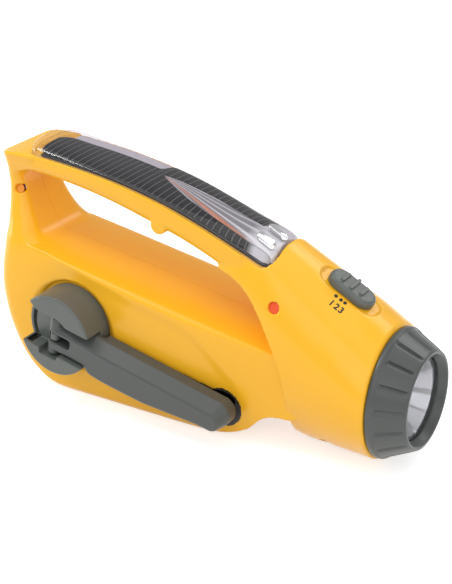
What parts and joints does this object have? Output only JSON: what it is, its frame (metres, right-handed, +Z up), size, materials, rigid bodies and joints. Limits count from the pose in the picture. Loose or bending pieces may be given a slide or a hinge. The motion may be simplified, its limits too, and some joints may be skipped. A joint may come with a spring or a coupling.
{
  "type": "hand crank flashlight",
  "caption": "Hand crank flashlight with a moulded housing, a loop handle topped by a solar panel, a folding side crank driving a small geared generator, a slide switch and a ribbed lens ring.",
  "frame": {"origin": "middle of the flat foot of the housing, on the plane where the two shells meet", "axes": "+X to the lens, +Z up out of the foot, crank on the -Y side"},
  "size_m": [0.21, 0.0701, 0.1188],
  "materials": {
    "shell": "glossy moulded yellow",
    "grip": "satin mid grey",
    "clear": "clear polished plastic",
    "cell": "dark glossy solar cell",
    "tray": "dark matte",
    "strip": "bright ribbed foil",
    "reflector": "vacuum metallised",
    "steel": "zinc plated",
    "gear": "natural acetal",
    "copper": "enamelled winding",
    "magnet": "sintered dark grey",
    "board": "green board",
    "lamp": "clear resin"
  },
  "bodies": {
    "housing": {"right_housing": "shell", "left_housing": "shell", "solar_cover": "clear", "solar_panel": "cell", "solar_tray": "tray", "solar_strip": "strip", "hub_bushing": "gear", "compound_axle": "steel", "gear_plate": "steel", "plate_screw_1": "steel", "plate_screw_2": "steel", "plate_screw_3": "steel", "generator_can": "steel", "generator_coil": "copper", "bezel_ring": "grip", "front_lens": "clear", "reflector": "reflector", "lamp_board": "board", "lamp_1": "lamp", "lamp_2": "lamp", "lamp_3": "lamp", "switch_body": "tray", "battery_cell_1": "steel", "battery_cell_2": "steel", "battery_cell_3": "steel", "circuit_board": "board", "capacitor": "tray", "rear_screw": "steel", "head_screw": "steel", "barrel_screw": "steel", "handle_screw": "steel"},
    "crank": {"crank_hub": "grip", "arm_pin": "steel", "drive_gear": "gear", "hub_screw": "steel"},
    "arm": {"crank_arm": "grip", "knob_pin": "steel"},
    "knob_carrier": {"knob_post": "steel"},
    "knob": {"crank_knob": "grip"},
    "compound": {"compound_gear": "gear"},
    "rotor": {"rotor_pinion": "gear", "rotor_shaft": "steel", "rotor_magnet": "magnet"},
    "switch": {"switch_button": "grip"}
  },
  "joints": [
    {"name": "crank_spin", "type": "hinge", "parent": "housing", "child": "crank", "pos_m": [-0.0221, -0.03, 0.03739], "axis": [0, -1, 0], "continuous": true},
    {"name": "arm_fold", "type": "hinge", "parent": "crank", "child": "arm", "pos_m": [-0.02445, -0.0356, 0.03608], "axis": [-0.2215, 0, -0.9751], "range_deg": [0, 180]},
    {"name": "knob_fold", "type": "hinge", "parent": "arm", "child": "knob_carrier", "pos_m": [0.05747, -0.0312, 0.01747], "axis": [-0.2215, 0, -0.9751], "range_deg": [0, 90]},
    {"name": "knob_spin", "type": "hinge", "parent": "knob_carrier", "child": "knob", "pos_m": [0.04391, -0.0312, 0.02055], "axis": [0.9751, 0, -0.2215], "continuous": true},
    {"name": "switch_slide", "type": "slide", "parent": "housing", "child": "switch", "axis": [0.8717, 0, -0.4901], "range_m": [-0.003, 0.003]},
    {"name": "compound_spin", "type": "hinge", "parent": "housing", "child": "compound", "pos_m": [0.00539, -0.015, 0.03205], "axis": [0, -1, 0], "continuous": true},
    {"name": "rotor_spin", "type": "hinge", "parent": "housing", "child": "rotor", "pos_m": [0.02451, -0.005, 0.0262], "axis": [0, -1, 0], "continuous": true}
  ],
  "couplings": [
    {"joint": "compound_spin", "follows": "crank_spin", "ratio": -3.6667},
    {"joint": "rotor_spin", "follows": "crank_spin", "ratio": 14.667}
  ]
}
